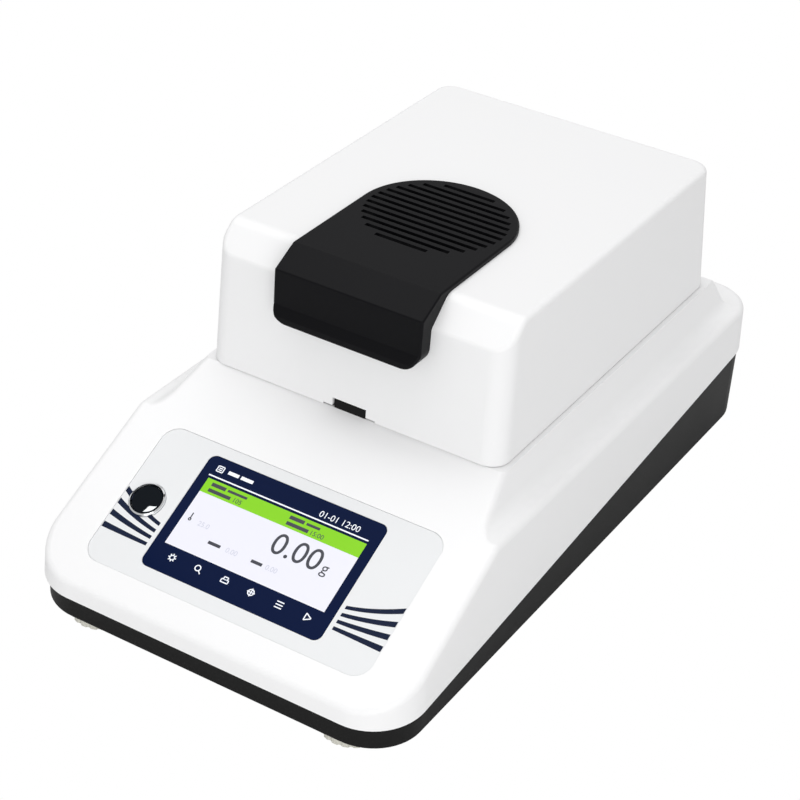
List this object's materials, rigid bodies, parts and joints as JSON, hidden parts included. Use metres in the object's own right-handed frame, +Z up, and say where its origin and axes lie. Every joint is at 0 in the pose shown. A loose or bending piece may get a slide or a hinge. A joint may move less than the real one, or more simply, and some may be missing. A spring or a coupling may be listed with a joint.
{
  "type": "moisture analyzer",
  "caption": "Bench moisture analyzer with a hinged halogen heating lid and black handle, a weighing chamber, a sloping touch panel with bubble level, and levelling feet.",
  "frame": {"origin": "middle of the outline, on the table under the feet", "axes": "+Z up, -Y the front with the screen, +X to the right seen from the front"},
  "size_m": [0.2048, 0.378, 0.1665],
  "materials": {
    "white_plastic": "fine satin moulding",
    "black_plastic": "fine matt moulding",
    "handle_plastic": "satin moulding",
    "label_film": "satin printed film",
    "screen_glass": "clear flat glass",
    "module_frame": "dull",
    "circuit_board": "lacquered board",
    "bright_ring": "polished",
    "level_cup": "gloss",
    "steel": "brushed",
    "aluminium": "satin",
    "soft_rubber": "matt",
    "pale_rubber": "matt",
    "pale_plastic": "satin",
    "insulation": "dull pressed board",
    "lamp_glass": "quartz tube",
    "ceramic": "unglazed ceramic",
    "clear_glass": "clear flat glass",
    "gloss_black": "gloss"
  },
  "bodies": {
    "base": {"base_tray": "black_plastic", "upper_housing": "white_plastic", "housing_screws": "steel", "panel_label": "label_film", "display_glass": "screen_glass", "display_module": "module_frame", "display_board": "circuit_board", "level_bezel": "bright_ring", "level_vial": "level_cup", "level_clip": "black_plastic", "hinge_brackets": "steel", "lid_catch": "soft_rubber", "chamber_bowl": "steel", "draft_shield": "steel", "thermal_plate": "insulation", "load_cell": "aluminium", "load_cell_base": "aluminium", "main_board": "circuit_board", "power_supply": "module_frame", "rear_plate": "steel", "power_inlet": "black_plastic", "switch_frame": "black_plastic", "serial_port": "steel", "rear_feet": "pale_rubber"},
    "lid": {"lid_shell": "white_plastic", "handle_cover": "handle_plastic", "lid_liner": "steel", "reflector": "aluminium", "halogen_lamp": "lamp_glass", "lamp_sockets": "ceramic", "protective_glass": "clear_glass", "glass_retainer": "steel", "temperature_sensor": "steel", "heat_shield": "aluminium", "hinge_arms": "steel", "hinge_pins": "steel"},
    "weigh": {"weigh_spindle": "steel", "pan_support": "steel"},
    "pan_set": {"sample_pan": "aluminium", "pan_handler": "steel"},
    "rocker": {"power_rocker": "gloss_black"},
    "left_pad": {"left_foot_pad": "soft_rubber"},
    "right_pad": {"right_foot_pad": "soft_rubber"},
    "left_wheel": {"left_foot_wheel": "pale_plastic"},
    "right_wheel": {"right_foot_wheel": "pale_plastic"}
  },
  "joints": [
    {"name": "lid_hinge", "type": "hinge", "parent": "base", "child": "lid", "pos_m": [0, 0.15, 0.097], "axis": [-1, 0, 0], "range_deg": [0, 78]},
    {"name": "weigh_press", "type": "slide", "parent": "base", "child": "weigh", "axis": [0, 0, -1], "range_m": [0, 0.0004], "stiffness_N_per_m": 15000},
    {"name": "pan_lift", "type": "slide", "parent": "weigh", "child": "pan_set", "axis": [0, 0, 1], "range_m": [0, 0.008]},
    {"name": "power_switch", "type": "hinge", "parent": "base", "child": "rocker", "pos_m": [-0.012, 0.1825, 0.03], "axis": [1, 0, 0], "range_deg": [-20, 0]},
    {"name": "left_foot_height", "type": "slide", "parent": "base", "child": "left_pad", "axis": [0, 0, -1], "range_m": [0, 0.003]},
    {"name": "left_foot_turn", "type": "hinge", "parent": "left_pad", "child": "left_wheel", "pos_m": [-0.07, -0.1685, 0.005], "axis": [0, 0, -1], "range_deg": [0, 1080]},
    {"name": "right_foot_height", "type": "slide", "parent": "base", "child": "right_pad", "axis": [0, 0, -1], "range_m": [0, 0.003]},
    {"name": "right_foot_turn", "type": "hinge", "parent": "right_pad", "child": "right_wheel", "pos_m": [0.07, -0.1685, 0.005], "axis": [0, 0, -1], "range_deg": [0, 1080]}
  ],
  "couplings": [
    {"joint": "left_foot_turn", "follows": "left_foot_height", "rad_per_m": 6283.2},
    {"joint": "right_foot_turn", "follows": "right_foot_height", "rad_per_m": 6283.2}
  ]
}
